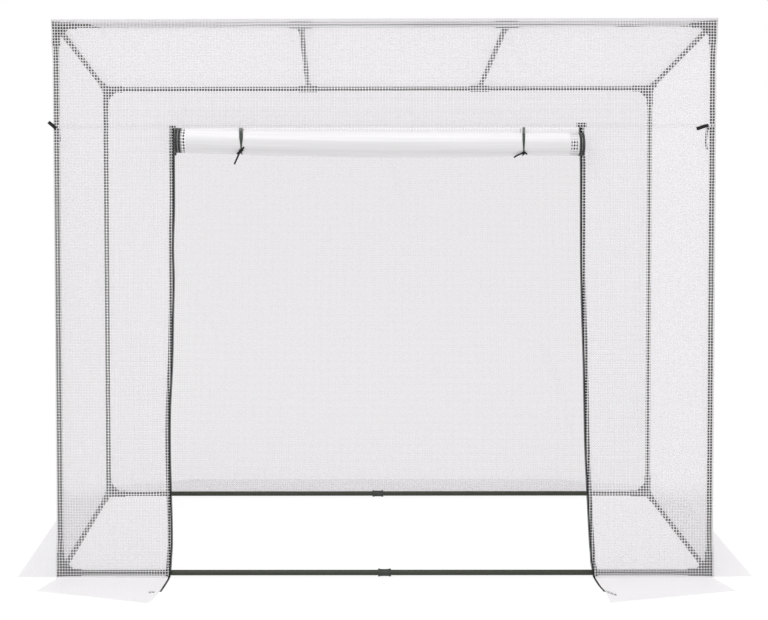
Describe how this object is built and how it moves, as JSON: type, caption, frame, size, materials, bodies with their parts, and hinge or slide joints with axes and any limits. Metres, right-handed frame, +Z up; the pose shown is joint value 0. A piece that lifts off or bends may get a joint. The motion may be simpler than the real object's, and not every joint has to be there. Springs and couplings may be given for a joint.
{
  "type": "mini greenhouse",
  "caption": "Lean-to mini greenhouse: a socketed tube frame under a sewn see-through film cover, with a door rolled up between two open zips, a sloping roof and ground skirts.",
  "frame": {"origin": "on the ground, under the middle of the frame", "axes": "+X along the width, to the right of someone who faces the door; +Y from the door to the back wall; +Z up"},
  "size_m": [2.2206, 1.1506, 1.68],
  "materials": {
    "steel_tube": "dark green coating, satin",
    "socket_plastic": "moulded, fine matt texture",
    "cover_film": "clear film with a white reinforcing grid",
    "webbing": "dark green woven tape",
    "zip_tape": "black woven tape with a coil",
    "zip_metal": "cast zinc, satin"
  },
  "bodies": {
    "frame": {"front_left_upright": "steel_tube", "front_right_upright": "steel_tube", "rear_left_upright": "steel_tube", "rear_right_upright": "steel_tube", "front_bottom_rail_left": "steel_tube", "front_bottom_rail_right": "steel_tube", "rear_bottom_rail_left": "steel_tube", "rear_bottom_rail_right": "steel_tube", "front_top_rail_left": "steel_tube", "front_top_rail_middle": "steel_tube", "front_top_rail_right": "steel_tube", "rear_top_rail_left": "steel_tube", "rear_top_rail_middle": "steel_tube", "rear_top_rail_right": "steel_tube", "left_side_bottom_rail": "steel_tube", "right_side_bottom_rail": "steel_tube", "left_side_top_rail": "steel_tube", "right_side_top_rail": "steel_tube", "left_rafter": "steel_tube", "right_rafter": "steel_tube", "front_left_bottom_corner": "socket_plastic", "front_right_bottom_corner": "socket_plastic", "rear_left_bottom_corner": "socket_plastic", "rear_right_bottom_corner": "socket_plastic", "front_left_top_corner": "socket_plastic", "front_right_top_corner": "socket_plastic", "rear_left_top_corner": "socket_plastic", "rear_right_top_corner": "socket_plastic", "front_left_tee": "socket_plastic", "front_right_tee": "socket_plastic", "rear_left_tee": "socket_plastic", "rear_right_tee": "socket_plastic", "front_bottom_coupler": "socket_plastic", "rear_bottom_coupler": "socket_plastic", "front_header_panel": "cover_film", "back_panel": "cover_film", "front_left_panel": "cover_film", "front_right_panel": "cover_film", "left_side_panel": "cover_film", "right_side_panel": "cover_film", "roof_panel": "cover_film", "left_zip_tape": "zip_tape", "right_zip_tape": "zip_tape", "left_door_tie": "webbing", "right_door_tie": "webbing", "front_left_frame_tie": "webbing", "front_right_frame_tie": "webbing", "rear_left_frame_tie": "webbing", "rear_right_frame_tie": "webbing"},
    "door": {"door_roll": "cover_film", "door_curtain": "cover_film"},
    "left_slider": {"left_zip_slider": "zip_metal"},
    "right_slider": {"right_zip_slider": "zip_metal"},
    "left_pull": {"left_zip_pull": "zip_metal"},
    "right_pull": {"right_zip_pull": "zip_metal"},
    "front_left_flap": {"front_left_skirt": "cover_film"},
    "front_right_flap": {"front_right_skirt": "cover_film"},
    "back_flap": {"back_skirt": "cover_film"},
    "left_flap": {"left_side_skirt": "cover_film"},
    "right_flap": {"right_side_skirt": "cover_film"}
  },
  "joints": [
    {"name": "door_drop", "type": "slide", "parent": "frame", "child": "door", "axis": [0, 0, -1], "range_m": [0, 1.262], "deforming": ["door_curtain", "left_door_tie", "right_door_tie"]},
    {"name": "left_zip_slide", "type": "slide", "parent": "frame", "child": "left_slider", "axis": [-0.0125, 0, -0.9999], "range_m": [0, 1.24]},
    {"name": "right_zip_slide", "type": "slide", "parent": "frame", "child": "right_slider", "axis": [0.0302, 0, -0.9995], "range_m": [0, 1.24]},
    {"name": "left_pull_swing", "type": "hinge", "parent": "left_slider", "child": "left_pull", "pos_m": [-0.6228, -0.3794, 1.29993], "axis": [0.9999, 0, -0.0125], "range_deg": [0, 120]},
    {"name": "right_pull_swing", "type": "hinge", "parent": "right_slider", "child": "right_pull", "pos_m": [0.5788, -0.3794, 1.29982], "axis": [0.9995, 0, 0.0302], "range_deg": [0, 120]},
    {"name": "front_left_skirt_fold", "type": "hinge", "parent": "frame", "child": "front_left_flap", "pos_m": [-0.82, -0.3856, 0.0005], "axis": [-1, 0, 0], "range_deg": [0, 90]},
    {"name": "front_right_skirt_fold", "type": "hinge", "parent": "frame", "child": "front_right_flap", "pos_m": [0.81, -0.3856, 0.0005], "axis": [-1, 0, 0], "range_deg": [0, 90]},
    {"name": "back_skirt_fold", "type": "hinge", "parent": "frame", "child": "back_flap", "pos_m": [0, 0.3856, 0.0005], "axis": [1, 0, 0], "range_deg": [0, 90]},
    {"name": "left_skirt_fold", "type": "hinge", "parent": "frame", "child": "left_flap", "pos_m": [-0.9906, 0, 0.0005], "axis": [0, 1, 0], "range_deg": [0, 90]},
    {"name": "right_skirt_fold", "type": "hinge", "parent": "frame", "child": "right_flap", "pos_m": [0.9906, 0, 0.0005], "axis": [0, -1, 0], "range_deg": [0, 90]}
  ]
}
